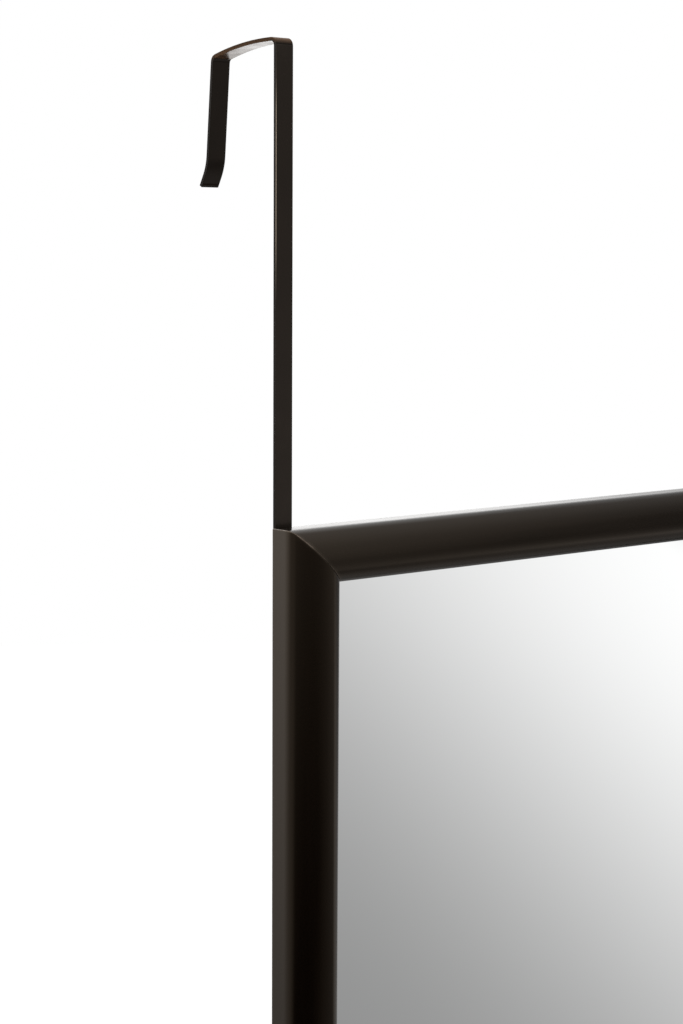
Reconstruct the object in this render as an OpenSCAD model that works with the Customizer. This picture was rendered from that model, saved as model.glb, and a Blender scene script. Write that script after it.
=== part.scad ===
// Over the door mirror: a mitred black moulding round a silvered pane, hung from
// the top edge of a door by two bent strips of flat steel.
// X runs across the mirror, +Y points back towards the door and +Z points up.
// The origin is the front corner of the door's top edge, midway between the hooks:
// Y = 0 is the door's face and Z = 0 is the door's top edge.

/* [Frame] */
// Overall width of the frame
frame_w = 370; // [300:1:460]
// Overall height of the frame
frame_h = 1270; // [900:1:1400]

/* [Moulding] */
// Width of the moulding, from its outer wall to the sight edge
moulding_w = 25; // [23.5:0.5:30]
// Height of the flat outer wall, from the back
wall_h = 11; // [10:0.5:14]
// Radius of the shoulder between the outer wall and the crown
shoulder_r = 6; // [4:0.5:8]
// Turn of the shoulder before it runs into the crown
shoulder_turn = 45; // [35:1:50]
// Radius of the crowned front, up to its crest
crown_r = 24; // [20:0.5:26]
// Turn of the nose, from the crest down to the sight edge
nose_turn = 60; // [45:1:75]
// Height of the sight edge's inner wall, in front of the pane
lip_h = 3; // [2:0.5:4]
// Width of the rabbet that holds the pane
rabbet_w = 6.5; // [5:0.5:9]

/* [Mirror pack] */
// Thickness of the pane
glass_t = 3; // [2:0.5:4]
// Thickness of the silvering with its protective paint
silver_t = 0.1; // [0.1:0.05:0.3]
// Thickness of the packing card
card_t = 1; // [0.5:0.25:1.5]
// Thickness of the backing board
board_t = 3; // [2:0.5:3.5]
// Gap between the pane and the rabbet's wall, on each side
pane_gap = 0.8; // [0.5:0.1:0.9]
// Further gap round the card and the board, on each side
board_gap = 0.1; // [0:0.05:0.1]

/* [Retaining tabs] */
// Length of a tab along the rail
tab_w = 12; // [8:1:16]
// Thickness of a tab
tab_t = 0.5; // [0.3:0.1:0.8]
// Depth of a tab's slot in the rabbet's wall
tab_root = 6; // [4:0.5:7]
// Reach of a tab over the backing board
tab_reach = 6; // [4:0.5:8]
// Widest spacing of the tabs along a rail or a stile
tab_pitch = 250; // [150:10:400]

/* [Corner nails] */
// Length of each leg of a V nail
nail_leg = 4.5; // [3:0.5:5]
// Thickness of a V nail
nail_t = 0.5; // [0.4:0.1:0.8]
// Height of a V nail, into the moulding
nail_h = 8; // [5:0.5:9]
// Depth that a V nail is driven below the back
nail_sink = 0.5; // [0.3:0.1:1]
// Distance of the outer V nail from the frame's two outer walls
outer_nail = 4.5; // [4:0.5:5]
// Distance of the inner V nail from the frame's two outer walls
inner_nail = 11.5; // [11:0.5:12]

/* [Hooks] */
// Width of the steel strip
strip_w = 10; // [8:0.5:12]
// Thickness of the steel strip
strip_t = 1.8; // [1.2:0.1:2.5]
// Distance of a hook's outer edge from the frame's outer wall
hook_inset = 2; // [0.5:0.1:3]
// Height of the door's top edge above the frame
hook_rise = 216; // [120:1:260]
// Clear gap for the door, from the strap to the top of the back leg
hook_gap = 44; // [36:0.5:50]
// Inner radius of the two tight bends
bend_r = 2; // [1.5:0.25:4]
// Inner radius of the bridge's bow
bridge_r = 160; // [140:5:400]
// Angle by which the back leg leans away from the door
leg_lean = 4.5; // [1:0.5:8]
// Length of the back leg's straight part
leg_len = 43; // [25:1:70]
// Angle by which the tip flares out from the leg
flare_turn = 24; // [10:1:40]
// Outer radius of the flare
flare_r = 25; // [10:1:40]
// Length of the straight tip
tip_len = 5.5; // [1:0.5:12]
// Length of the strap behind the frame
foot_len = 70; // [64:1:100]

/* [Hook screws] */
// Diameter of a screw's shank
screw_d = 3; // [2.5:0.1:3.5]
// Diameter of a screw's head
screw_head_d = 6.2; // [5.5:0.1:7]
// Height of a screw's head
screw_head_h = 1.6; // [1.2:0.1:2.2]
// Depth of a screw in the moulding
screw_grip = 9; // [7:0.5:10]
// Distance of the lower screw from the strap's end
foot_margin = 12; // [8:1:14]
// Distance between a hook's two screws
screw_pitch = 38; // [25:1:40]

/* [Door pads] */
// Diameter of a door pad
pad_d = 16; // [10:0.5:17]
// Height of a door pad's centre above the frame's bottom
pad_rise = 45; // [30:1:80]

/* [Fits] */
// Play between a screw and the strap's hole, on the radius
strap_play = 0.2; // [0.1:0.05:0.4]
// Play round a piece that is driven into the moulding
driven_play = 0.05; // [0.02:0.01:0.1]

/* [Hidden] */

LEFT = -1;
RIGHT = 1;
UPPER = 1;
LOWER = -1;
RIGHT_ANGLE = 90;
HALF_TURN = 180;
// Angle of one chord of a drawn arc
arc_step = 4;
// Sides of a drawn circle
round_fn = 48;
// Overshoot of a cut past the face that it starts from
cut_past = 1;

black_moulding = [0.09, 0.07, 0.06];
black_steel = [0.12, 0.11, 0.11];
mirror_silver = [0.80, 0.83, 0.85];
backing_paint = [0.45, 0.47, 0.48];
grey_card = [0.62, 0.60, 0.56];
brown_board = [0.45, 0.32, 0.20];
zinc = [0.70, 0.71, 0.72];
black_foam = [0.15, 0.15, 0.16];

// The frame's outer edges and its back
frame_left = -frame_w / 2;
frame_top = -hook_rise;
frame_middle = frame_top - frame_h / 2;
frame_bottom = frame_top - frame_h;
frame_back = -strip_t;

// The moulding's section: u runs in from the outer wall, v runs forward from the back
crown_u = shoulder_r + (crown_r - shoulder_r) * cos(shoulder_turn);
crown_v = wall_h - (crown_r - shoulder_r) * sin(shoulder_turn);
crest_v = crown_v + crown_r;
nose_r = (moulding_w - crown_u) / sin(nose_turn);
sight_v = crest_v - nose_r * (1 - cos(nose_turn));
pane_front = sight_v - lip_h;
rabbet_u = moulding_w - rabbet_w;

// Planes of the pack, each one behind the last
silver_front = pane_front - glass_t;
card_front = silver_front - silver_t;
board_front = card_front - card_t;
tab_front = board_front - board_t;

// The opening inside the rabbet's walls, and what lies in it
rabbet_open_w = frame_w - 2 * rabbet_u;
rabbet_open_h = frame_h - 2 * rabbet_u;

// A hook's bridge, worked out from the gap that it spans
bridge_turn = asin((hook_gap - bend_r - bend_r * cos(leg_lean)) / (bridge_r - bend_r));
bridge_drop = bridge_r * (1 - cos(bridge_turn));
strap_len = foot_len + hook_rise + bridge_drop - bend_r;

pad_t = strip_t + screw_head_h;

function circle_point(centre, r, angle) = centre + r * [cos(angle), sin(angle)];

// Points of an arc from one angle to another, in chords of about arc_step
function arc_points(centre, r, from, to) =
    let (chords = max(1, ceil(abs(to - from) / arc_step)))
    [for (i = [0 : chords]) circle_point(centre, r, from + (to - from) * i / chords)];

function reversed(points) = [for (i = [len(points) - 1 : -1 : 0]) points[i]];

// Places of a row of tabs, evenly spread over a member's inner length
function tab_places(length) =
    let (count = ceil(length / tab_pitch))
    [for (i = [0 : count - 1]) length * ((i + 0.5) / count - 0.5)];

// ---- Moulding ----

// The moulding's section as [u, v]
module moulding_section() {
    shoulder_end = HALF_TURN - shoulder_turn;
    shoulder = arc_points([shoulder_r, wall_h], shoulder_r, HALF_TURN, shoulder_end);
    crown = arc_points([crown_u, crown_v], crown_r, shoulder_end, RIGHT_ANGLE);
    nose = arc_points([crown_u, crest_v - nose_r], nose_r, RIGHT_ANGLE, RIGHT_ANGLE - nose_turn);
    polygon(concat(
        [[0, 0]],
        shoulder,
        [for (i = [1 : len(crown) - 1]) crown[i]],
        [for (i = [1 : len(nose) - 1]) nose[i]],
        [[moulding_w, pane_front], [rabbet_u, pane_front], [rabbet_u, 0]]
    ));
}

// The outline of a mitred member seen from the front, with its outer wall at the top
module mitre_outline(length) {
    polygon([
        [-length / 2, 0],
        [length / 2, 0],
        [length / 2 - moulding_w, -moulding_w],
        [-length / 2 + moulding_w, -moulding_w]
    ]);
}

// A mitred member along X, with its outer wall at Z = 0 facing up and its back at Y = 0
module member(length) {
    difference() {
        intersection() {
            rotate([0, RIGHT_ANGLE, HALF_TURN])
                translate([0, 0, -length / 2])
                    linear_extrude(length)
                        moulding_section();
            translate([0, cut_past, 0])
                rotate([RIGHT_ANGLE, 0, 0])
                    linear_extrude(crest_v + 2 * cut_past)
                        mitre_outline(length);
        }
        tab_row(length, driven_play);
        for (side = [LEFT, RIGHT])
            translate([side * length / 2, 0, 0])
                mirror([side > 0 ? 1 : 0, 0, 0])
                    nail_pair(driven_play);
    }
}

// Puts a member's own frame on one edge of the mirror: turn 0 is the top, 90 the left
module on_edge(turn, half_span) {
    translate([0, frame_back, frame_middle])
        rotate([0, -turn, 0])
            translate([0, 0, half_span])
                children();
}

module top_rail() {
    color(black_moulding)
        on_edge(0, frame_h / 2)
            member(frame_w);
}

module bottom_rail() {
    color(black_moulding)
        on_edge(HALF_TURN, frame_h / 2)
            member(frame_w);
}

// A stile is a member with the holes for a hook's screws in its back
module stile(side) {
    color(black_moulding)
        difference() {
            on_edge(-side * RIGHT_ANGLE, frame_w / 2)
                member(frame_h);
            for (z = screw_heights())
                translate([hook_middle(side), frame_back + cut_past, z])
                    rotate([RIGHT_ANGLE, 0, 0])
                        cylinder(
                            h = screw_grip + driven_play + cut_past,
                            d = screw_d + 2 * driven_play,
                            $fn = round_fn
                        );
        }
}

module left_stile() {
    stile(LEFT);
}

module right_stile() {
    stile(RIGHT);
}

// ---- Mirror pack ----

// A sheet of the pack: its front lies at section height front_v
module pack_sheet(front_v, thickness, gap) {
    width = rabbet_open_w - 2 * gap;
    height = rabbet_open_h - 2 * gap;
    translate([-width / 2, frame_back - front_v, frame_middle - height / 2])
        cube([width, thickness, height]);
}

module mirror_pane() {
    color(mirror_silver)
        pack_sheet(pane_front, glass_t, pane_gap);
}

module silvering() {
    color(backing_paint)
        pack_sheet(silver_front, silver_t, pane_gap);
}

module packing_card() {
    color(grey_card)
        pack_sheet(card_front, card_t, pane_gap + board_gap);
}

module backing_board() {
    color(brown_board)
        pack_sheet(board_front, board_t, pane_gap + board_gap);
}

// ---- Retaining tabs ----

// A row of tabs in a member's own frame, or of their slots where play is above 0
module tab_row(length, play = 0) {
    reach = play > 0 ? cut_past : tab_reach;
    for (x = tab_places(length - 2 * moulding_w))
        translate([x - tab_w / 2 - play, -tab_front - play, -rabbet_u - reach])
            cube([tab_w + 2 * play, tab_t + 2 * play, reach + tab_root + play]);
}

module edge_tabs(turn, half_span, length) {
    color(zinc)
        on_edge(turn, half_span)
            tab_row(length);
}

module top_tabs() {
    edge_tabs(0, frame_h / 2, frame_w);
}

module bottom_tabs() {
    edge_tabs(HALF_TURN, frame_h / 2, frame_w);
}

module left_tabs() {
    edge_tabs(RIGHT_ANGLE, frame_w / 2, frame_h);
}

module right_tabs() {
    edge_tabs(-RIGHT_ANGLE, frame_w / 2, frame_h);
}

// ---- Corner nails ----

// A V nail whose point lies on the mitre, apex_at in from both outer walls
module v_nail(apex_at, play) {
    near = -nail_t / 2 - play;
    far = nail_leg + play;
    across = nail_t + 2 * play;
    // A pocket is open at the moulding's back, and a nail starts nail_sink below it
    start = play > 0 ? -cut_past : nail_sink;
    translate([apex_at, -start, -apex_at])
        rotate([RIGHT_ANGLE, 0, 0])
            linear_extrude(nail_sink + nail_h + play - start)
                union() {
                    translate([near, near - far])
                        square([across, far + across]);
                    translate([near, near])
                        square([far + across, across]);
                }
}

// The two V nails of a corner, or their pockets where play is above 0: the frame's
// outer walls meet at the origin and the moulding runs along +X and along -Z
module nail_pair(play = 0) {
    v_nail(outer_nail, play);
    v_nail(inner_nail, play);
}

module corner_nails(side, level) {
    color(zinc)
        translate([side * frame_w / 2, frame_back, frame_middle + level * frame_h / 2])
            mirror([side > 0 ? 1 : 0, 0, 0])
                mirror([0, 0, level < 0 ? 1 : 0])
                    nail_pair();
}

module top_left_nails() {
    corner_nails(LEFT, UPPER);
}

module top_right_nails() {
    corner_nails(RIGHT, UPPER);
}

module bottom_left_nails() {
    corner_nails(LEFT, LOWER);
}

module bottom_right_nails() {
    corner_nails(RIGHT, LOWER);
}

// ---- Hooks ----

function hook_middle(side) = side * (frame_w / 2 - hook_inset - strip_w / 2);

function screw_heights() =
    let (lower = frame_top - foot_len + foot_margin)
    [lower + screw_pitch, lower];

// The face of the strip that looks at the door (offset 0) or away from it (offset
// strip_t), from the strap's foot to the flared tip, as [y, z]
function strip_face(offset) =
    let (
        crown = bridge_drop,
        front_bend = [bend_r, crown - bend_r],
        bow = [bend_r, crown - bridge_r],
        back_bend = circle_point(bow, bridge_r - bend_r, RIGHT_ANGLE - bridge_turn),
        leg_top = circle_point(back_bend, bend_r, leg_lean),
        leg_foot = circle_point(leg_top, leg_len, leg_lean - RIGHT_ANGLE),
        flare = circle_point(leg_foot, flare_r, leg_lean),
        tip_angle = leg_lean + flare_turn,
        tip_start = circle_point(flare, flare_r - offset, HALF_TURN + tip_angle),
        tip_end = circle_point(tip_start, tip_len, tip_angle - RIGHT_ANGLE)
    )
    concat(
        [[-offset, crown - bend_r - strap_len]],
        arc_points(front_bend, bend_r + offset, HALF_TURN, RIGHT_ANGLE),
        arc_points(bow, bridge_r + offset, RIGHT_ANGLE, RIGHT_ANGLE - bridge_turn),
        arc_points(back_bend, bend_r + offset, RIGHT_ANGLE - bridge_turn, leg_lean),
        arc_points(flare, flare_r - offset, HALF_TURN + leg_lean, HALF_TURN + tip_angle),
        [tip_end]
    );

module hook(side) {
    color(black_steel)
        difference() {
            translate([hook_middle(side) - strip_w / 2, 0, 0])
                rotate([RIGHT_ANGLE, 0, RIGHT_ANGLE])
                    linear_extrude(strip_w)
                        polygon(concat(strip_face(0), reversed(strip_face(strip_t))));
            for (z = screw_heights())
                translate([hook_middle(side), cut_past, z])
                    rotate([RIGHT_ANGLE, 0, 0])
                        cylinder(
                            h = strip_t + 2 * cut_past,
                            d = screw_d + 2 * strap_play,
                            $fn = round_fn
                        );
        }
}

module left_hook() {
    hook(LEFT);
}

module right_hook() {
    hook(RIGHT);
}

// ---- Hook screws ----

// A wood screw along +Z with the underside of its domed head at Z = 0
module screw() {
    point_h = screw_d;
    slot_w = screw_head_d / 7;
    slot_len = screw_head_d * 0.6;
    slot_depth = screw_head_h / 2;
    dome_r = (screw_head_h ^ 2 + (screw_head_d / 2) ^ 2) / (2 * screw_head_h);
    difference() {
        union() {
            rotate_extrude($fn = round_fn)
                intersection() {
                    translate([0, screw_head_h - dome_r])
                        circle(dome_r, $fn = round_fn);
                    square([screw_head_d / 2, screw_head_h]);
                }
            translate([0, 0, -screw_grip - strip_t + point_h])
                cylinder(h = screw_grip + strip_t - point_h, d = screw_d, $fn = round_fn);
            translate([0, 0, -screw_grip - strip_t])
                cylinder(h = point_h, d1 = 0, d2 = screw_d, $fn = round_fn);
        }
        for (turn = [0, RIGHT_ANGLE])
            rotate(turn)
                translate([-slot_len / 2, -slot_w / 2, screw_head_h - slot_depth])
                    cube([slot_len, slot_w, slot_depth + cut_past]);
    }
}

module hook_screws(side) {
    color(zinc)
        for (z = screw_heights())
            translate([hook_middle(side), 0, z])
                rotate([-RIGHT_ANGLE, 0, 0])
                    screw();
}

module left_hook_screws() {
    hook_screws(LEFT);
}

module right_hook_screws() {
    hook_screws(RIGHT);
}

// ---- Door pads ----

module door_pad(side) {
    color(black_foam)
        translate([side * (frame_w / 2 - rabbet_u / 2), frame_back, frame_bottom + pad_rise])
            rotate([-RIGHT_ANGLE, 0, 0])
                cylinder(h = pad_t, d = pad_d, $fn = round_fn);
}

module left_pad() {
    door_pad(LEFT);
}

module right_pad() {
    door_pad(RIGHT);
}

top_rail();
bottom_rail();
left_stile();
right_stile();
mirror_pane();
silvering();
packing_card();
backing_board();
top_tabs();
bottom_tabs();
left_tabs();
right_tabs();
top_left_nails();
top_right_nails();
bottom_left_nails();
bottom_right_nails();
left_hook();
right_hook();
left_hook_screws();
right_hook_screws();
left_pad();
right_pad();
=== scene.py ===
"""The looks of an over the door mirror, built round its packed construction model.

A black mitred moulding holds a silvered pane, and two bent steel straps hang it from a
door's top edge. Everything is in metres: X runs across the mirror, +Y points back to the
door and +Z points up, with the origin on the front corner of the door's top edge.
"""

import math

import bmesh
import bpy
from mathutils import Matrix, Vector


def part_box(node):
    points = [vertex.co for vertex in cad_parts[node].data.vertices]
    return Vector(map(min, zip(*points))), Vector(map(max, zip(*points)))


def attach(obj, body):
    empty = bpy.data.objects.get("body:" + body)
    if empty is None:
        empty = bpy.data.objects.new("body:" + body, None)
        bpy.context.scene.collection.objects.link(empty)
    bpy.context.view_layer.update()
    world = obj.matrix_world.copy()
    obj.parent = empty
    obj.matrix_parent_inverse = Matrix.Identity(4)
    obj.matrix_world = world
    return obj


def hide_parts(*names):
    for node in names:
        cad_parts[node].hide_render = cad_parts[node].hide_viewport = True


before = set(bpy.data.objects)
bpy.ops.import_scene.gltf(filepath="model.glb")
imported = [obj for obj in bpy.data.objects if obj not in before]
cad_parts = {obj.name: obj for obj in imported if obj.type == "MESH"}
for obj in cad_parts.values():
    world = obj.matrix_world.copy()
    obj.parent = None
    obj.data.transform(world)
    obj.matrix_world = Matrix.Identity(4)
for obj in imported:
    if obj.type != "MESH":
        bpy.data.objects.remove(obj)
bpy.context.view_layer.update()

MM = 0.001
QUARTER_TURN = math.radians(90)
HALF_TURN = math.radians(180)

# Corners of a CAD mesh that lie this close are one corner
WELD = 0.001 * MM

# How much of an axis a face's normal has where the face looks along it, and where it has
# only turned towards it
FACING = 0.8
TURNED = 0.1

# ---- Sizes ----

# The frame's outline and its back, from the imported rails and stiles
RAIL_LOW, RAIL_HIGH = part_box("top_rail")
STILE_LOW, STILE_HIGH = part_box("left_stile")
FRAME_BACK = RAIL_HIGH.y
FRAME_W = RAIL_HIGH.x - RAIL_LOW.x
FRAME_H = STILE_HIGH.z - STILE_LOW.z
FRAME_MIDDLE = Vector((0, FRAME_BACK, (STILE_HIGH.z + STILE_LOW.z) / 2))
MOULDING_W = STILE_HIGH.x - STILE_LOW.x

# The moulding's section: u runs in from the outer wall, v runs forward from the back
WALL_H = 11 * MM
WALL_END_GAP = 0.5 * MM
SHOULDER_R = 6 * MM
SHOULDER_TURN = math.radians(45)
SHOULDER_EASE = 2 * MM
CROWN_R = 24 * MM
NOSE_TURN = math.radians(60)
RABBET_W = 6.5 * MM
BACK_ARRIS_R = 0.5 * MM
SIGHT_ARRIS_R = 0.5 * MM
CREASE = math.radians(35)

# On the back the lacquer ends at the first u, and the board is wholly bare from the second.
# How bare the skin is at that end and on the arris beside it comes after: 0 is whole lacquer
LACQUER_END_U = 1.6 * MM
BARE_U = 4 * MM
LACQUER_END_BARE = 0.45
BACK_ARRIS_BARE = 0.35

# A mitre's edges: how far they are eased and how soon that ends, the rings that shape them,
# and the plain stretch's distance from them
MITRE_EASE = 0.22 * MM
MITRE_EASE_RUN = 0.3 * MM
MITRE_RINGS = (0.0, 0.12 * MM, 0.3 * MM, 0.7 * MM, 2.5 * MM)
MITRE_CLEAR = 6 * MM

# A mitre is knocked most at this u, less within its reach, and least elsewhere
KNOCK_U = 4.8 * MM
KNOCK_REACH = 4.5 * MM
KNOCK_LEAST = 0.15
KNOCK_RUN = 0.8 * MM
RAIL_KNOCKS = 1.0
STILE_KNOCKS = 0.15

# The pockets of the corner nails, and the least mark of the old skin beside them
POCKET_PLAY = 0.05 * MM
POCKET_FLOOR = 0.4 * MM
SKIN_MARK = 0.99

# The hook's strip and its bends, as its inner face follows them from the foot
STRIP_T = 1.8 * MM
STRIP_ARRIS_R = 0.12 * MM
STRIP_END_EASE = 0.25 * MM
BEND_R = 2 * MM
BRIDGE_R = 160 * MM
HOOK_GAP = 44 * MM
LEG_LEAN = math.radians(4.5)
LEG_LEN = 43 * MM
FLARE_TURN = math.radians(24)
FLARE_R = 25 * MM
TIP_LEN = 5.5 * MM

# The stretch of the strap whose front arrises carry a painted highlight, and how strong that
# painted highlight is on the rest of it and on the arris nearer to the frame's middle
HIGHLIGHT_TOP = -9 * MM
HIGHLIGHT_FOOT = -101 * MM
HIGHLIGHT_TOP_FADE = 18 * MM
HIGHLIGHT_FOOT_FADE = 9 * MM
HIGHLIGHT_LEAST = 0.03
HIGHLIGHT_INNER = 0.4

# How strong the painted highlight on an arris is at each of its points, from one flat to the other
ARRIS_HIGHLIGHT = (0.0, 0.55, 1.0, 1.0, 1.0, 0.55, 0.0)

# How brown the enamel is at the start and the end of each bend and of the bridge, cut off at
# 0 and 1: on the face away from the door, and on the face towards it. The brown stands for
# thin enamel, and partly for a painted warm highlight, most of all on the front bend's top
FRONT_BEND_TOP = (-0.4, 2.1)
BRIDGE_TOP = (0.5, 0.5)
BRIDGE_UNDER = (0.6, 0.6)
REAR_BEND_TOP = (0.8, 0.0)
REAR_BEND_UNDER = (0.5, -3.0)

# The corners and the rounded edges of the flat sheets
PANE_CORNER_R = 1.5 * MM
PANE_EDGE_R = 0.4 * MM
BOARD_CORNER_R = 2 * MM
BOARD_EDGE_R = 0.35 * MM
TAB_CORNER_R = 1.6 * MM
TAB_EDGE_R = 0.1 * MM

# A pad's rim from front to back: how far inside the widest circle, and where in the thickness
PAD_RIM = (
    (0.7 * MM, 0),
    (0.25 * MM, 0.06),
    (0.05 * MM, 0.2),
    (0, 0.5),
    (0.08 * MM, 0.75),
    (0.35 * MM, 0.93),
    (0.9 * MM, 1),
)

# The camera, fitted to the edges of the hook and of the moulding
CAMERA_PLACE = (-0.8566, -0.8084, -0.0896)
CAMERA_YAW = math.radians(41.524)
CAMERA_PITCH = math.radians(-6.449)
CAMERA_ROLL = math.radians(0.283)
CAMERA_LENS = 80.68


# ---- Mesh helpers ----


def arc(centre, radius, start, end, steps):
    """Points of an arc in a plane, both ends included."""
    angles = [start + (end - start) * i / steps for i in range(steps + 1)]
    return [(centre[0] + radius * math.cos(a), centre[1] + radius * math.sin(a)) for a in angles]


def circle(centre, radius, steps=64):
    """Points of a whole circle, each of them once."""
    return arc(centre, radius, 0, 2 * HALF_TURN, steps)[:-1]


def blend(start, corner, end, steps):
    """Points of a curve that leaves start towards corner and reaches end from it."""
    points = []
    for i in range(steps + 1):
        t = i / steps
        shares = ((1 - t) ** 2, 2 * t * (1 - t), t**2)
        parts = [(share * a, share * b) for share, (a, b) in zip(shares, (start, corner, end))]
        points.append((sum(a for a, _ in parts), sum(b for _, b in parts)))
    return points


def spaced(start, end, count):
    """Count values from start to end, both included."""
    return [start + (end - start) * i / (count - 1) for i in range(count)]


def outward(points):
    """Unit normals of a closed polygon's corners, pointing away from what it encloses."""
    count = len(points)
    area = sum(
        points[i][0] * points[(i + 1) % count][1] - points[(i + 1) % count][0] * points[i][1]
        for i in range(count)
    )
    side = 1 if area > 0 else -1
    normals = []
    for i in range(count):
        before, after = points[i - 1], points[(i + 1) % count]
        along = Vector((after[0] - before[0], after[1] - before[1])).normalized()
        normals.append((side * along.y, -side * along.x))
    return normals


def new_piece(name, mesh_source, materials, node):
    """Turns a bmesh into a piece that rides with the frame, in the place of a CAD node that it
    hides.
    """
    bmesh.ops.recalc_face_normals(mesh_source, faces=mesh_source.faces)
    mesh = bpy.data.meshes.new(name)
    mesh_source.to_mesh(mesh)
    mesh_source.free()
    for material in materials:
        mesh.materials.append(material)
    piece = bpy.data.objects.new(name, mesh)
    bpy.context.scene.collection.objects.link(piece)
    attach(piece, "root")
    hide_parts(node)
    return piece


def loft(rings, marks=None):
    """A closed skin through rings of equally many points, with a flat cap on both ends.

    marks names float layers: each is a list of one row of values for each ring.
    """
    made = bmesh.new()
    marks = marks or {}
    layers = {name: made.verts.layers.float.new(name) for name in marks}
    rows = []
    for r, ring in enumerate(rings):
        row = [made.verts.new(point) for point in ring]
        for name, layer in layers.items():
            for vert, value in zip(row, marks[name][r]):
                vert[layer] = value
        rows.append(row)
    for row, following in zip(rows, rows[1:]):
        for i in range(len(row)):
            j = (i + 1) % len(row)
            face = made.faces.new((row[i], row[j], following[j], following[i]))
            face.smooth = True
    for row in (rows[0], rows[-1]):
        cap = made.faces.new(row)
        for edge in cap.edges:
            edge.smooth = False
    return made


def islands(node):
    """The lowest and highest corner of each separate solid in a CAD node."""
    source = bmesh.new()
    source.from_mesh(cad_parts[node].data)
    bmesh.ops.remove_doubles(source, verts=source.verts, dist=WELD)
    left = set(source.verts)
    found = []
    while left:
        group, front = set(), [left.pop()]
        while front:
            vert = front.pop()
            group.add(vert)
            for edge in vert.link_edges:
                other = edge.other_vert(vert)
                if other in left:
                    left.remove(other)
                    front.append(other)
        places = [vert.co for vert in group]
        low = Vector([min(p[axis] for p in places) for axis in range(3)])
        high = Vector([max(p[axis] for p in places) for axis in range(3)])
        found.append((low, high))
    source.free()
    return sorted(found, key=lambda pair: tuple(pair[0]))


def rounded_outline(low, high, radius, steps):
    """A rectangle's outline with round corners, as (a, b) from its low and high corner."""
    corners = [
        (high[0] - radius, low[1] + radius, -QUARTER_TURN),
        (high[0] - radius, high[1] - radius, 0),
        (low[0] + radius, high[1] - radius, QUARTER_TURN),
        (low[0] + radius, low[1] + radius, HALF_TURN),
    ]
    points = []
    for a, b, start in corners:
        points += arc((a, b), radius, start, start + QUARTER_TURN, steps)
    return points


def plate(low, high, corner_r, edge_r):
    """Rings of a flat plate that faces Y, with round corners and rounded edges."""
    # The middle of a rounded edge lies this far in on both axes
    halfway = edge_r * 0.3
    rings = []
    for inset, y in [
        (edge_r, low.y),
        (halfway, low.y + halfway),
        (0, low.y + edge_r),
        (0, high.y - edge_r),
        (halfway, high.y - halfway),
        (edge_r, high.y),
    ]:
        low_corner = (low.x + inset, low.z + inset)
        high_corner = (high.x - inset, high.z - inset)
        outline = rounded_outline(low_corner, high_corner, corner_r - inset, 4)
        rings.append([(a, y, b) for a, b in outline])
    return rings


def cut(piece, cutter):
    """Takes the cutter's solid out of a piece, for good."""
    bmesh.ops.recalc_face_normals(cutter, faces=cutter.faces)
    mesh = bpy.data.meshes.new("cutter")
    cutter.to_mesh(mesh)
    cutter.free()
    tool = bpy.data.objects.new("cutter", mesh)
    bpy.context.scene.collection.objects.link(tool)
    modifier = piece.modifiers.new("cut", "BOOLEAN")
    modifier.operation = "DIFFERENCE"
    modifier.solver = "EXACT"
    modifier.object = tool
    bpy.context.view_layer.update()
    graph = bpy.context.evaluated_depsgraph_get()
    result = bpy.data.meshes.new_from_object(piece.evaluated_get(graph), depsgraph=graph)
    piece.modifiers.clear()
    piece.data = result
    bpy.data.objects.remove(tool)


# ---- Node helpers ----


def new_material(name):
    """A node material and its shader."""
    material = bpy.data.materials.new(name)
    material.use_nodes = True
    return material, material.node_tree, material.node_tree.nodes["Principled BSDF"]


def plug(tree, socket, value):
    """Links a socket to an input, or sets the input's own value."""
    if isinstance(value, bpy.types.NodeSocket):
        tree.links.new(value, socket)
    elif isinstance(value, tuple) and len(value) == 3 and socket.type == "RGBA":
        socket.default_value = (*value, 1)
    else:
        socket.default_value = value


def node(tree, kind, inputs=(), **settings):
    """Adds a node, with its settings and a list of (input, value) pairs."""
    made = tree.nodes.new(kind)
    for name, value in settings.items():
        setattr(made, name, value)
    for key, value in inputs:
        plug(tree, made.inputs[key], value)
    return made


def place_in(tree, scale=(1, 1, 1)):
    """The place on the piece in metres, stretched by scale."""
    coordinates = node(tree, "ShaderNodeTexCoord")
    mapping = node(
        tree, "ShaderNodeMapping", [("Vector", coordinates.outputs["Object"]), ("Scale", scale)]
    )
    return mapping.outputs["Vector"]


def noise(tree, place, scale, detail=3.0, roughness=0.55):
    """Soft noise from 0 to 1."""
    made = node(
        tree,
        "ShaderNodeTexNoise",
        [("Vector", place), ("Scale", scale), ("Detail", detail), ("Roughness", roughness)],
    )
    return made.outputs["Fac"]


def ranged(tree, value, low, high, to_low=0.0, to_high=1.0, smooth=False):
    """Maps value from low..high to to_low..to_high, clamped."""
    ends = [("From Min", low), ("From Max", high), ("To Min", to_low), ("To Max", to_high)]
    made = node(
        tree,
        "ShaderNodeMapRange",
        [("Value", value), *ends],
        interpolation_type="SMOOTHSTEP" if smooth else "LINEAR",
    )
    return made.outputs["Result"]


def maths(tree, operation, a, b):
    """One step of arithmetic on two values."""
    return node(tree, "ShaderNodeMath", [(0, a), (1, b)], operation=operation).outputs["Value"]


def mixed(tree, factor, a, b):
    """A blend of two colours: a at factor 0 and b at factor 1."""
    made = node(tree, "ShaderNodeMix", data_type="RGBA")
    # The factor and the two colours are the inputs 0, 6 and 7, and the blend is output 2
    for key, value in ((0, factor), (6, a), (7, b)):
        plug(tree, made.inputs[key], value)
    return made.outputs[2]


def toned(tree, value, a, b, low=0.3, high=0.7, most=1.0):
    """A blend of two colours that runs from a at low to b, or most of b, at high."""
    return mixed(tree, ranged(tree, value, low, high, 0.0, most), a, b)


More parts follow.
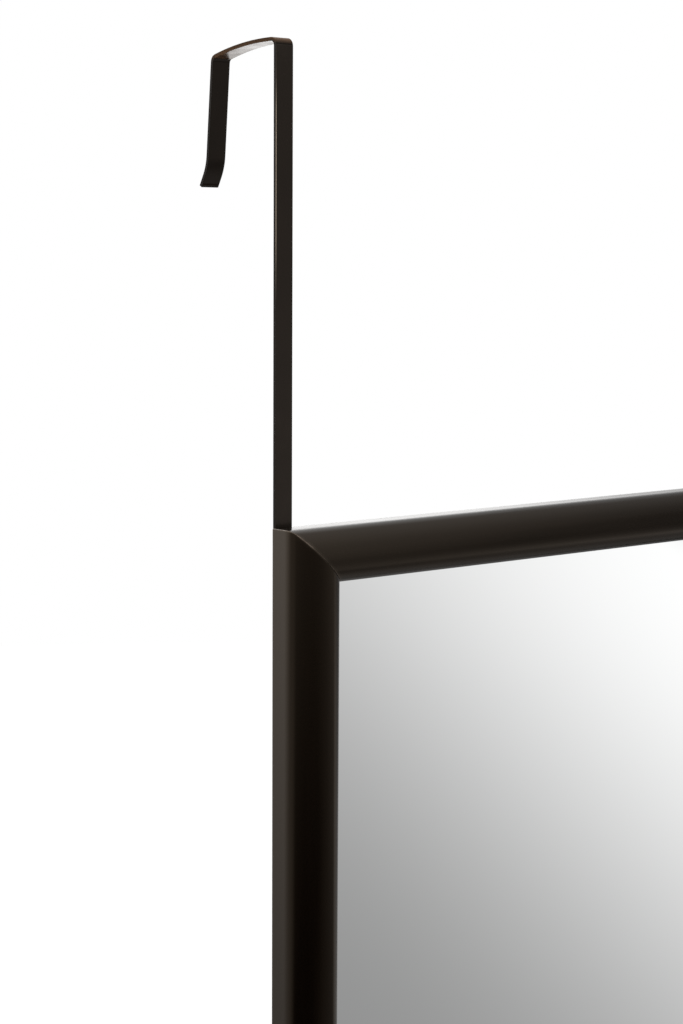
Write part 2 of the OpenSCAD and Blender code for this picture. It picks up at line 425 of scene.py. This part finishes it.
def bumped(tree, shader, height, distance):
    """Gives a shader a bump from a height of 0 to 1, which is distance metres tall."""
    made = node(
        tree, "ShaderNodeBump", [("Strength", 1.0), ("Distance", distance), ("Height", height)]
    )
    plug(tree, shader.inputs["Normal"], made.outputs["Normal"])


def layer(tree, name):
    """A float layer of the mesh."""
    return node(tree, "ShaderNodeAttribute", attribute_name=name).outputs["Fac"]


# ---- Materials ----


def moulding_material(name, along, matt):
    """Brown-black lacquer on fibre board, bare at the back and chipped along the mitres.

    along stretches the lacquer's faint brush lines along the member; matt is its roughness.
    """
    material, tree, shader = new_material(name)
    place = place_in(tree)
    lines = noise(tree, place_in(tree, along), 1.0, 4.0)
    cloud = noise(tree, place, 9.0, 2.0)
    lacquer = toned(tree, lines, (0.0011, 0.0004, 0.0001), (0.0022, 0.0009, 0.0003))
    lacquer = toned(tree, cloud, lacquer, (0.0030, 0.0015, 0.0008), 0.35, 0.7, most=0.5)
    fleck = noise(tree, place, 900.0, 5.0, 0.7)
    fibre = noise(tree, place_in(tree, tuple(8 * s for s in along)), 1.0, 5.0, 0.65)
    board = toned(tree, fleck, (0.20, 0.125, 0.066), (0.36, 0.245, 0.145))
    board = toned(tree, fibre, board, (0.27, 0.165, 0.085), 0.4, 0.75, most=0.45)
    # The lacquer ends in a ragged line where the bare layer rises, and chips off at the mitres
    ragged = ranged(tree, noise(tree, place, 260.0, 4.0), 0.3, 0.7, -0.3, 0.3)
    bare = ranged(tree, maths(tree, "ADD", layer(tree, "bare"), ragged), 0.47, 0.55)
    loose = ranged(tree, noise(tree, place, 120.0, 3.0), 0.30, 0.52)
    chips = maths(tree, "MULTIPLY", layer(tree, "wear_and_highlight"), loose)
    colour = mixed(tree, chips, mixed(tree, bare, lacquer, board), (0.36, 0.29, 0.235))
    plug(tree, shader.inputs["Base Color"], colour)
    unlacquered = maths(tree, "MAXIMUM", bare, chips)
    gloss = ranged(tree, lines, 0.3, 0.7, matt - 0.03, matt + 0.03)
    dull = ranged(tree, unlacquered, 0.0, 1.0, 0.0, 0.5)
    plug(tree, shader.inputs["Roughness"], maths(tree, "ADD", gloss, dull))
    shader.inputs["IOR"].default_value = 1.40
    plug(tree, shader.inputs["Specular Tint"], (1.0, 0.77, 0.55))
    peel = noise(tree, place, 520.0, 2.0)
    coat = maths(tree, "MULTIPLY", lines, 0.35)
    coat = maths(tree, "ADD", coat, maths(tree, "MULTIPLY", peel, 0.25))
    rough = maths(tree, "MULTIPLY", fleck, maths(tree, "MULTIPLY", unlacquered, 2.5))
    bumped(tree, shader, maths(tree, "ADD", coat, rough), 0.03 * MM)
    return material


def enamel_material(name, matt, ior):
    """Black-brown enamel on steel strip: dull and brown where it is thin and where a warm
    highlight is painted, tan where a highlight is painted on the front arrises.

    matt is its roughness where it is whole, and ior sets how much it mirrors.
    """
    material, tree, shader = new_material(name)
    place = place_in(tree)
    cloud = noise(tree, place, 45.0, 4.0)
    coat = toned(tree, cloud, (0.0016, 0.0009, 0.0006), (0.0030, 0.0018, 0.0012), 0.35, 0.65)
    # Brown where the layer rises: thin enamel, and partly a painted warm highlight on the bends
    thin_and_highlight = maths(tree, "MULTIPLY", layer(tree, "thin_and_highlight"), ranged(tree, cloud, 0.3, 0.6, 0.6, 1.0))
    coat = mixed(tree, thin_and_highlight, coat, (0.115, 0.060, 0.029))
    # Streaked tan along the front arrises: a painted highlight
    streaks = noise(tree, place_in(tree, (60, 60, 9)), 1.0, 4.0)
    streaks = ranged(tree, streaks, 0.34, 0.58, 0.75, 1.0)
    arris_highlight = maths(tree, "MULTIPLY", layer(tree, "wear_and_highlight"), streaks)
    plug(tree, shader.inputs["Base Color"], mixed(tree, arris_highlight, coat, (0.66, 0.54, 0.42)))
    dull = ranged(tree, noise(tree, place, 160.0, 3.0), 0.3, 0.7, matt - 0.04, matt + 0.04)
    for mark, share in ((arris_highlight, 0.2), (thin_and_highlight, 0.25)):
        dull = maths(tree, "ADD", dull, maths(tree, "MULTIPLY", mark, share))
    plug(tree, shader.inputs["Roughness"], dull)
    shader.inputs["IOR"].default_value = ior
    plug(tree, shader.inputs["Specular Tint"], (1.0, 0.80, 0.64))
    peel = noise(tree, place, 700.0, 2.0)
    bumped(tree, shader, peel, 0.012 * MM)
    return material


def mirror_material():
    """The silver seen through the glass: bright, with a faint haze."""
    material, tree, shader = new_material("mirror_silver")
    plug(tree, shader.inputs["Base Color"], (0.955, 0.960, 0.958))
    shader.inputs["Metallic"].default_value = 1.0
    haze = noise(tree, place_in(tree), 7.0, 5.0)
    plug(tree, shader.inputs["Roughness"], ranged(tree, haze, 0.35, 0.8, 0.0, 0.018))
    return material


def glass_edge_material():
    """The pane's ground edge, pale green."""
    material, tree, shader = new_material("glass_edge")
    ground = noise(tree, place_in(tree), 1500.0, 3.0)
    green = mixed(tree, ground, (0.22, 0.40, 0.34), (0.42, 0.60, 0.53))
    plug(tree, shader.inputs["Base Color"], green)
    plug(tree, shader.inputs["Roughness"], ranged(tree, ground, 0.3, 0.7, 0.35, 0.6))
    bumped(tree, shader, ground, 0.03 * MM)
    return material


def paint_back_material():
    """The grey paint that protects the silver, flowed on in thin and thick curtains."""
    material, tree, shader = new_material("silver_back_paint")
    curtain = noise(tree, place_in(tree, (30, 30, 2.5)), 1.0, 4.0)
    speck = noise(tree, place_in(tree), 420.0, 4.0)
    grey = mixed(tree, curtain, (0.085, 0.098, 0.105), (0.135, 0.150, 0.160))
    plug(tree, shader.inputs["Base Color"], grey)
    plug(tree, shader.inputs["Roughness"], ranged(tree, speck, 0.3, 0.7, 0.45, 0.65))
    bumped(tree, shader, speck, 0.02 * MM)
    return material


def card_material():
    """Grey pulp card with pale and dark fibres."""
    material, tree, shader = new_material("packing_card_pulp")
    place = place_in(tree)
    pulp = noise(tree, place, 380.0, 6.0, 0.7)
    fibres = noise(tree, place_in(tree, (900, 900, 120)), 1.0, 3.0)
    grey = toned(tree, pulp, (0.27, 0.25, 0.22), (0.40, 0.38, 0.34))
    grey = toned(tree, fibres, grey, (0.16, 0.14, 0.12), 0.62, 0.7)
    plug(tree, shader.inputs["Base Color"], grey)
    plug(tree, shader.inputs["Roughness"], ranged(tree, pulp, 0.3, 0.7, 0.8, 0.95))
    bumped(tree, shader, pulp, 0.05 * MM)
    return material


def hardboard_material():
    """Smooth brown hardboard: pressed fibres, darker clouds and a dull sheen."""
    material, tree, shader = new_material("hardboard")
    place = place_in(tree)
    cloud = noise(tree, place, 11.0, 4.0)
    fibre = noise(tree, place_in(tree, (260, 260, 900)), 1.0, 5.0, 0.7)
    fleck = noise(tree, place, 620.0, 4.0, 0.75)
    brown = toned(tree, cloud, (0.135, 0.075, 0.038), (0.190, 0.110, 0.058))
    brown = toned(tree, fibre, brown, (0.260, 0.165, 0.095), 0.45, 0.72, most=0.55)
    brown = toned(tree, fleck, brown, (0.075, 0.040, 0.020), 0.60, 0.72, most=0.6)
    plug(tree, shader.inputs["Base Color"], brown)
    plug(tree, shader.inputs["Roughness"], ranged(tree, fleck, 0.3, 0.7, 0.42, 0.6))
    bumped(tree, shader, maths(tree, "ADD", fibre, fleck), 0.03 * MM)
    return material


def zinc_material():
    """Bright zinc plate with drawing lines and a faint blue and straw passivation."""
    material, tree, shader = new_material("bright_zinc")
    place = place_in(tree)
    bloom = noise(tree, place, 190.0, 4.0)
    lines = noise(tree, place_in(tree, (300, 300, 4000)), 1.0, 3.0)
    tint = toned(tree, bloom, (0.36, 0.38, 0.41), (0.47, 0.455, 0.41))
    plug(tree, shader.inputs["Base Color"], tint)
    shader.inputs["Metallic"].default_value = 1.0
    plug(tree, shader.inputs["Roughness"], ranged(tree, bloom, 0.3, 0.7, 0.24, 0.42))
    bumped(tree, shader, lines, 0.006 * MM)
    return material


def foam_material():
    """Black closed-cell foam: small open pores on a dull skin."""
    material, tree, shader = new_material("pad_foam")
    place = place_in(tree)
    cells = node(tree, "ShaderNodeTexVoronoi", [("Vector", place), ("Scale", 1900.0)])
    cloud = noise(tree, place, 800.0, 4.0)
    black = mixed(tree, cloud, (0.012, 0.012, 0.013), (0.030, 0.030, 0.032))
    plug(tree, shader.inputs["Base Color"], black)
    plug(tree, shader.inputs["Roughness"], ranged(tree, cloud, 0.3, 0.7, 0.85, 1.0))
    bumped(tree, shader, cells.outputs["Distance"], 0.12 * MM)
    return material


# ---- Moulding ----


def moulding_section():
    """The section's (u, v) points, with how bare of lacquer each one is."""
    shoulder_end = HALF_TURN - SHOULDER_TURN
    crown_u = SHOULDER_R + (CROWN_R - SHOULDER_R) * math.cos(SHOULDER_TURN)
    crown_v = WALL_H - (CROWN_R - SHOULDER_R) * math.sin(SHOULDER_TURN)
    crest_v = crown_v + CROWN_R
    nose_r = (MOULDING_W - crown_u) / math.sin(NOSE_TURN)
    nose_end = QUARTER_TURN - NOSE_TURN
    sight_v = crest_v - nose_r * (1 - math.cos(NOSE_TURN))
    pane_v = FRAME_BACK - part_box("mirror_pane")[0].y
    rabbet_u = MOULDING_W - RABBET_W
    # The coat softens the turn from the flat wall into the shoulder
    wall_end = WALL_H - SHOULDER_EASE
    shoulder = (
        SHOULDER_R * (1 - math.cos(SHOULDER_TURN)),
        WALL_H + SHOULDER_R * math.sin(SHOULDER_TURN),
    )
    turn_corner = (0, shoulder[1] - shoulder[0] / math.tan(SHOULDER_TURN))
    # The sight arris is a small arc that ends the nose and turns into the lip's wall
    arris_v = sight_v - SIGHT_ARRIS_R * math.sin(nose_end)
    arris_centre = (MOULDING_W - SIGHT_ARRIS_R, arris_v)

    r = BACK_ARRIS_R
    lacquered = (
        arc((r, r), r, 1.5 * HALF_TURN, HALF_TURN, steps=4)
        + [(0, v) for v in spaced(2 * r, wall_end - WALL_END_GAP, count=4)]
        + blend((0, wall_end), turn_corner, shoulder, steps=18)
        + arc((crown_u, crown_v), CROWN_R, shoulder_end, QUARTER_TURN, steps=30)[1:]
        + arc((crown_u, crest_v - nose_r), nose_r, QUARTER_TURN, nose_end, steps=18)[1:-1]
        + arc(arris_centre, SIGHT_ARRIS_R, nose_end, 0, steps=3)
        + [(MOULDING_W, arris_v - 2 * SIGHT_ARRIS_R), (MOULDING_W, pane_v)]
    )
    back = [
        (rabbet_u, pane_v),
        (rabbet_u, pane_v / 2),
        (rabbet_u, 0),
        (rabbet_u / 2, 0),
        (BARE_U, 0),
        (LACQUER_END_U, 0),
    ]
    bare = [0.0] * len(lacquered) + [1.0] * (len(back) - 1) + [LACQUER_END_BARE]
    bare[0] = BACK_ARRIS_BARE
    return lacquered + back, bare


def moulding_member(name, cad_node, out, length, half_span, material, knocks):
    """A mitred member. out is the unit vector that points out of the frame from it.

    half_span is half the frame's size along out, and knocks is how worn the mitres are.
    """
    section, bare = moulding_section()
    normals = outward(section)
    along = Vector((out.z, 0, -out.x))
    half = length / 2
    straight = half - MOULDING_W - MITRE_CLEAR
    rings, wear_and_highlight = [], []

    def at(u, v, s):
        return FRAME_MIDDLE + along * s + out * (half_span - u) + Vector((0, -v, 0))

    def mitred_ring(side, distance):
        eased = max(0.0, 1 - distance / MITRE_EASE_RUN) ** 2 * MITRE_EASE
        ring = []
        for (u, v), (nu, nv) in zip(section, normals):
            ring.append(at(u - nu * eased, v - nv * eased, side * (half - u - distance)))
        rings.append(ring)
        ridge = knocks * max(0.0, 1 - distance / KNOCK_RUN)
        reached = [max(KNOCK_LEAST, 1 - abs(u - KNOCK_U) / KNOCK_REACH) for u, _ in section]
        wear_and_highlight.append([ridge * share for share in reached])

    for distance in MITRE_RINGS:
        mitred_ring(-1, distance)
    for s in spaced(-straight, straight, count=9):
        rings.append([at(u, v, s) for u, v in section])
        wear_and_highlight.append([0.0] * len(section))
    for distance in reversed(MITRE_RINGS):
        mitred_ring(1, distance)
    skin = [1.0] * len(section)
    marks = {"wear_and_highlight": wear_and_highlight, "bare": [bare] * len(rings), "skin": [skin] * len(rings)}
    return new_piece(name, loft(rings, marks), [material], cad_node)


def nail_pockets(corners):
    """A cutter for the open ends of the pockets that the corner nails are driven into."""
    made = bmesh.new()
    bare = made.verts.layers.float.new("bare")
    for corner in corners:
        made.from_mesh(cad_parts[corner + "_nails"].data)
    bmesh.ops.remove_doubles(made, verts=made.verts, dist=WELD)
    made.normal_update()
    ys = [vert.co.y for vert in made.verts]
    nail_end, middle = max(ys), (max(ys) + min(ys)) / 2
    moves = [(vert, Vector((vert.normal.x, 0, vert.normal.z)).normalized()) for vert in made.verts]
    for vert, away in moves:
        behind = vert.co.y > middle
        vert.co += away * POCKET_PLAY
        vert.co.y = FRAME_BACK + POCKET_FLOOR if behind else nail_end - POCKET_FLOOR
        vert[bare] = 1.0
    return made


def bare_cuts(piece):
    """Bares the board wherever a cut has made new corners, which carry no mark of the skin."""
    marks = piece.data.attributes
    for skin, bare in zip(marks["skin"].data, marks["bare"].data):
        if skin.value < SKIN_MARK:
            bare.value = 1.0


def mouldings():
    """The two rails and the two stiles, with the pockets of the corner nails."""
    rail = moulding_material("rail_lacquer", along=(6, 130, 130), matt=0.22)
    stile = moulding_material("stile_lacquer", along=(130, 130, 6), matt=0.16)
    across = (FRAME_W, FRAME_H / 2, rail, RAIL_KNOCKS)
    upright = (FRAME_H, FRAME_W / 2, stile, STILE_KNOCKS)
    members = [
        ("top_rail", Vector((0, 0, 1)), across, ("top_left", "top_right")),
        ("bottom_rail", Vector((0, 0, -1)), across, ("bottom_left", "bottom_right")),
        ("left_stile", Vector((-1, 0, 0)), upright, ("top_left", "bottom_left")),
        ("right_stile", Vector((1, 0, 0)), upright, ("top_right", "bottom_right")),
    ]
    for cad_node, out, kind, corners in members:
        piece = moulding_member(cad_node + "_moulding", cad_node, out, *kind)
        cut(piece, nail_pockets(corners))
        bare_cuts(piece)
        piece.data.set_sharp_from_angle(angle=CREASE)


# ---- Hooks ----


def hook_path(foot_z):
    """Places of the strip's inner face as (y, z, heading, top, under), from the foot to the tip.

    top and under say how brown the enamel is on the outer and the inner face, from 0 to 1: thin
    enamel, and partly a painted warm highlight.
    """
    y, z, heading = 0.0, foot_z, QUARTER_TURN
    places = [(y, z, heading, 0.0, 0.0)]

    def go(length, count):
        """Runs straight on."""
        nonlocal y, z
        for _ in range(count):
            y += math.cos(heading) * length / count
            z += math.sin(heading) * length / count
            places.append((y, z, heading, 0.0, 0.0))

    def fade(ends, share):
        """How brown the enamel is a share of the way along a bend: thin enamel, and partly a
        painted warm highlight.
        """
        return min(1.0, max(0.0, ends[0] + (ends[1] - ends[0]) * share))

    def turn(radius, angle, count, top=(0, 0), under=(0, 0)):
        """Turns by angle, to the left where it is above 0, in an arc of that radius."""
        nonlocal y, z, heading
        chord = 2 * radius * math.sin(abs(angle) / count / 2)
        for i in range(count):
            heading += angle / count / 2
            y += math.cos(heading) * chord
            z += math.sin(heading) * chord
            heading += angle / count / 2
            share = (i + 1) / count
            places.append((y, z, heading, fade(top, share), fade(under, share)))

    bridge_span = HOOK_GAP - BEND_R - BEND_R * math.cos(LEG_LEAN)
    bridge_turn = math.asin(bridge_span / (BRIDGE_R - BEND_R))
    bridge_drop = BRIDGE_R * (1 - math.cos(bridge_turn))
    rear_turn = LEG_LEAN - QUARTER_TURN + bridge_turn
    go(bridge_drop - BEND_R - foot_z, count=20)
    turn(BEND_R, -QUARTER_TURN, count=12, top=FRONT_BEND_TOP)
    turn(BRIDGE_R, -bridge_turn, count=20, top=BRIDGE_TOP, under=BRIDGE_UNDER)
    turn(BEND_R, rear_turn, count=10, top=REAR_BEND_TOP, under=REAR_BEND_UNDER)
    go(LEG_LEN, count=6)
    turn(FLARE_R, FLARE_TURN, count=10)
    go(TIP_LEN, count=2)
    return places


def strip_section(width):
    """The strip's section as (x, depth), and how strong the painted arris highlight is at each
    point.
    """
    r = STRIP_ARRIS_R
    half = width / 2
    points = []

    def beside(point, angle, run):
        """A point further along the tangent that an arc has at that angle."""
        return (point[0] - math.sin(angle) * run, point[1] + math.cos(angle) * run)

    for x, depth, start in [
        (half - r, r, -QUARTER_TURN),
        (half - r, STRIP_T - r, 0),
        (-half + r, STRIP_T - r, QUARTER_TURN),
        (-half + r, r, HALF_TURN),
    ]:
        end = start + QUARTER_TURN
        arris = arc((x, depth), r, start, end, steps=4)
        points.append(beside(arris[0], start, -r / 2))
        points += arris
        points.append(beside(arris[-1], end, r / 2))
    return points, ARRIS_HIGHLIGHT * 4


def enamel_kind(face):
    """Which copy of the enamel a face has: chosen by where it looks, for painted shade and
    highlight.
    """
    out, up = -face.normal.y, face.normal.z
    behind = face.center.y > HOOK_GAP / 2
    if abs(face.normal.x) > FACING:
        return "side"
    if behind and out > FACING:
        return "leg"
    if not behind and min(out, up) > TURNED:
        return "front_bend"
    return "flat"


def hook_strap(name, cad_node, materials):
    """One hook: the strip swept along its bends, with square ends.

    materials is a dictionary of enamels, one for each kind of face, for painted shade and
    highlight.
    """
    low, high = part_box(cad_node)
    middle = (low.x + high.x) / 2
    section, arris_highlight_marks = strip_section(high.x - low.x)
    places = hook_path(low.z)
    rings, wear_and_highlight, thin_and_highlight = [], [], []

    def highlight_strength(x, z):
        """How strong the painted highlight on a front arris is, most of all on the hook's outer
        side.
        """
        stretch = min((HIGHLIGHT_TOP - z) / HIGHLIGHT_TOP_FADE, (z - HIGHLIGHT_FOOT) / HIGHLIGHT_FOOT_FADE)
        return min(1.0, max(HIGHLIGHT_LEAST, stretch)) * (1.0 if x * middle > 0 else HIGHLIGHT_INNER)

    def ring_at(place, shift, inset):
        """Adds a ring round a place of the path, shifted along it and inset all round."""
        y, z, heading, top, under = place
        y += math.cos(heading) * shift
        z += math.sin(heading) * shift
        side = (-math.sin(heading), math.cos(heading))
        front = y < HOOK_GAP / 2
        ring, highlighted, thin_and_highlight_row = [], [], []
        for (x, depth), most in zip(section, arris_highlight_marks):
            outer = depth > STRIP_T / 2
            # A painted highlight along the front arrises
            highlighted.append(most * highlight_strength(x, z) if outer and front else 0.0)
            thin_and_highlight_row.append(top if outer else under)
            x -= math.copysign(inset, x)
            depth -= inset if outer else -inset
            ring.append((middle + x, y + side[0] * depth, z + side[1] * depth))
        rings.append(ring)
        wear_and_highlight.append(highlighted)
        thin_and_highlight.append(thin_and_highlight_row)

    ring_at(places[0], 0, STRIP_END_EASE)
    ring_at(places[0], STRIP_END_EASE, 0)
    for place in places[1:-1]:
        ring_at(place, 0, 0)
    ring_at(places[-1], -STRIP_END_EASE, 0)
    ring_at(places[-1], 0, STRIP_END_EASE)
    skin = loft(rings, {"wear_and_highlight": wear_and_highlight, "thin_and_highlight": thin_and_highlight})
    piece = new_piece(name, skin, materials.values(), cad_node)
    kinds = list(materials)
    for face in piece.data.polygons:
        face.material_index = kinds.index(enamel_kind(face))


# ---- Mirror pack ----


def sheet_piece(name, cad_node, materials, corner_r, edge_r):
    """A flat sheet with eased edges in the place of its CAD node."""
    low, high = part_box(cad_node)
    made = loft(plate(low, high, corner_r, edge_r))
    return new_piece(name, made, materials, cad_node)


def mirror_pane():
    """The pane: silver on its face and back, ground glass round its edge."""
    materials = [mirror_material(), glass_edge_material()]
    piece = sheet_piece(
        "silvered_pane", "mirror_pane", materials, PANE_CORNER_R, PANE_EDGE_R
    )
    for face in piece.data.polygons:
        face.material_index = 0 if abs(face.normal.y) > FACING else 1


def hardboard_back():
    """The board that closes the back, over the packing card."""
    sheet_piece(
        "hardboard_back",
        "backing_board",
        [hardboard_material()],
        BOARD_CORNER_R,
        BOARD_EDGE_R,
    )


def tab_rows(material):
    """Flat retaining tabs with round corners, one piece for each side of the frame."""
    for side in ("top", "bottom", "left", "right"):
        made = bmesh.new()
        for low, high in islands(side + "_tabs"):
            single = loft(plate(low, high, TAB_CORNER_R, TAB_EDGE_R))
            mesh = bpy.data.meshes.new("tab")
            single.to_mesh(mesh)
            single.free()
            made.from_mesh(mesh)
            bpy.data.meshes.remove(mesh)
        new_piece(side + "_tab_row", made, [material], side + "_tabs")


def foam_pads(material):
    """Round door pads whose rim bulges a little."""
    for side in ("left", "right"):
        low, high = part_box(side + "_pad")
        centre = (low + high) / 2
        radius = (high.x - low.x) / 2
        thick = high.y - low.y
        rings = []
        for inset, share in PAD_RIM:
            ring = circle((centre.x, centre.z), radius - inset)
            rings.append([(a, low.y + thick * share, b) for a, b in ring])
        pad = new_piece(side + "_foam_pad", loft(rings), [material], side + "_pad")


def dress(cad_node, material):
    """Gives a CAD node that stays a better material."""
    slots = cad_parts[cad_node].data.materials
    slots.clear()
    slots.append(material)


# ---- Stage ----

# The room that gloss shows, as the pane and the lacquer do in the photograph: bright to the
# right, behind and above, brightest behind at the left, and dark below. Flags darken a part
# of it and lamps add to it. Each has its pole, in degrees to the right of straight back and
# above level, the degrees from the pole at which it starts and is whole, and its level there.
SKY_POLE = (58.2, 19.5)
SKY_EDGES = (87.5, 70.5)
SKY_DIM = 0.618
SKY_BRIGHT = 1.548
FLAGS = (
    ((-164, -72.3), (76.3, 55.1), 0.012),  # below
    ((121.1, 7.5), (17.5, 15), 0.344),  # right, towards the front
    ((134.7, 2.4), (10.3, 3.6), 0.567),  # further to the front, a small one
    ((90.5, 21.2), (59, 0), 0.03),  # right
)
LAMPS = (
    ((-28.6, 38.1), (64, 0), 2.42),  # behind, at the left
    ((35.2, -37.2), (31.2, 0), 0.6),  # behind, low
    ((41.1, -16.9), (9.9, 0), 1.1),  # behind at the right, a small one
    ((148.1, -60.7), (51.2, 0), 0.672),  # the floor in front
    ((38.5, 2.9), (15.2, 0), 1),  # behind at the right, level
    ((0, 90), (67.1, 38), 0.741),  # overhead
)
FILL_LIGHT = 0.62

# The floor's rings, and how much the camera sees it glow beyond what lights it
FLOOR_RINGS = (0.4, 1.2, 3.0, 7.0)
FLOOR_GLOW = 0.52


def aimed(right, up):
    """The unit vector that points so far to the right of straight back and above level."""
    return Vector((math.sin(right) * math.cos(up), math.cos(right) * math.cos(up), math.sin(up)))


def lobe(tree, way, pole, edges, outside, inside):
    """A level that runs smoothly from outside to inside as a way nears the pole."""
    direction = aimed(*(math.radians(angle) for angle in pole))
    start, whole = (math.cos(math.radians(angle)) for angle in edges)
    nearness = node(
        tree, "ShaderNodeVectorMath", [(0, way), (1, direction)], operation="DOT_PRODUCT"
    )
    return ranged(tree, nearness.outputs["Value"], start, whole, outside, inside, smooth=True)


def world_light():
    """White to the camera, graded to gloss, and an even fill to everything else."""
    world = bpy.data.worlds.new("studio")
    bpy.context.scene.world = world
    world.use_nodes = True
    tree = world.node_tree
    tree.nodes.clear()
    way = node(tree, "ShaderNodeTexCoord").outputs["Generated"]
    sky = lobe(tree, way, SKY_POLE, SKY_EDGES, SKY_DIM, SKY_BRIGHT)
    for pole, edges, level in FLAGS:
        sky = maths(tree, "MULTIPLY", sky, lobe(tree, way, pole, edges, 1, level))
    for pole, edges, level in LAMPS:
        sky = maths(tree, "ADD", sky, lobe(tree, way, pole, edges, 0, level))
    ray = node(tree, "ShaderNodeLightPath").outputs
    shiny = maths(tree, "MAXIMUM", ray["Is Glossy Ray"], ray["Is Transmission Ray"])
    level = node(tree, "ShaderNodeMix", [("Factor", shiny)], data_type="FLOAT")
    plug(tree, level.inputs["A"], FILL_LIGHT)
    plug(tree, level.inputs["B"], sky)
    seen = node(tree, "ShaderNodeMix", [("Factor", ray["Is Camera Ray"])], data_type="FLOAT")
    plug(tree, seen.inputs["A"], level.outputs["Result"])
    plug(tree, seen.inputs["B"], 1.0)
    background = node(tree, "ShaderNodeBackground", [("Strength", seen.outputs["Result"])])
    background.inputs["Color"].default_value = (1, 1, 1, 1)
    output = node(tree, "ShaderNodeOutputWorld")
    tree.links.new(background.outputs["Background"], output.inputs["Surface"])


def soft_lamp(name, place, target, size, power):
    """A square soft box that lights but isn't mirrored."""
    light = bpy.data.lights.new(name, "AREA")
    light.shape = "SQUARE"
    light.size = size
    light.energy = power
    lamp = bpy.data.objects.new(name, light)
    lamp.location = place
    lamp.rotation_euler = (Vector(target) - Vector(place)).to_track_quat("-Z", "Y").to_euler()
    lamp.visible_glossy = False
    bpy.context.scene.collection.objects.link(lamp)


def pale_floor():
    """A pale floor under the frame, white to the camera where nothing shades it."""
    made = bmesh.new()
    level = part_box("bottom_rail")[0].z
    centre = made.verts.new((0, 0, level))
    previous = None
    for radius in FLOOR_RINGS:
        ring = [made.verts.new((a, b, level)) for a, b in circle((0, 0), radius)]
        for i in range(len(ring)):
            j = (i + 1) % len(ring)
            if previous is None:
                made.faces.new((centre, ring[i], ring[j]))
            else:
                made.faces.new((previous[i], ring[i], ring[j], previous[j]))
        previous = ring
    mesh = bpy.data.meshes.new("floor")
    made.to_mesh(mesh)
    made.free()
    floor = bpy.data.objects.new("floor", mesh)
    bpy.context.scene.collection.objects.link(floor)
    material, tree, shader = new_material("floor_pale")
    speck = noise(tree, place_in(tree), 90.0, 3.0)
    pale = mixed(tree, speck, (0.78, 0.78, 0.775), (0.82, 0.82, 0.815))
    plug(tree, shader.inputs["Base Color"], pale)
    shader.inputs["Roughness"].default_value = 0.9
    shader.inputs["Specular IOR Level"].default_value = 0.0
    ray = node(tree, "ShaderNodeLightPath").outputs
    shader.inputs["Emission Color"].default_value = (1, 1, 1, 1)
    glow = maths(tree, "MULTIPLY", ray["Is Camera Ray"], FLOOR_GLOW)
    plug(tree, shader.inputs["Emission Strength"], glow)
    mesh.materials.append(material)
    floor.visible_glossy = False


def place_camera():
    """The photograph's own view: the upper left corner, from the left."""
    forward = aimed(CAMERA_YAW, CAMERA_PITCH)
    right = Vector((math.cos(CAMERA_YAW), -math.sin(CAMERA_YAW), 0))
    up = right.cross(forward)
    rolled_right = right * math.cos(CAMERA_ROLL) + up * math.sin(CAMERA_ROLL)
    rolled_up = up * math.cos(CAMERA_ROLL) - right * math.sin(CAMERA_ROLL)
    data = bpy.data.cameras.new("camera")
    data.lens = CAMERA_LENS
    data.sensor_width = 36
    data.clip_start = 0.01
    data.clip_end = 60
    camera = bpy.data.objects.new("camera", data)
    turned = Matrix((rolled_right, rolled_up, -forward)).transposed().to_4x4()
    camera.matrix_world = Matrix.Translation(CAMERA_PLACE) @ turned
    bpy.context.scene.collection.objects.link(camera)
    bpy.context.scene.camera = camera


place_camera()
world_light()
pale_floor()
soft_lamp("key_lamp", place=(1.7, -2.4, 1.2), target=(0, 0, -0.6), size=1.6, power=42)
soft_lamp("left_lamp", place=(-2.6, 0.9, 0.8), target=(0, 0, -0.5), size=1.4, power=22)

zinc = zinc_material()
# Copies of one enamel for faces that look different ways: the leg's and the sides' mirror less,
# which paints shade on them, and the front bend's mirrors less and is rougher, which lets its
# painted brown highlight show
enamel = {
    "flat": enamel_material("hook_enamel", matt=0.20, ior=1.42),
    "leg": enamel_material("hook_leg_enamel_painted_shade", matt=0.20, ior=1.31),
    "side": enamel_material("hook_side_enamel_painted_shade", matt=0.55, ior=1.18),
    "front_bend": enamel_material("hook_front_bend_enamel_painted_highlight", matt=0.30, ior=1.24),
}
mouldings()
hook_strap("left_hook_strap", "left_hook", enamel)
hook_strap("right_hook_strap", "right_hook", enamel)
mirror_pane()
hardboard_back()
dress("silvering", paint_back_material())
dress("packing_card", card_material())
tab_rows(zinc)
foam_pads(foam_material())
for corner in ("top_left", "top_right", "bottom_left", "bottom_right"):
    dress(corner + "_nails", zinc)
for side in ("left", "right"):
    dress(side + "_hook_screws", zinc)

bpy.context.scene.view_settings.view_transform = "Standard"
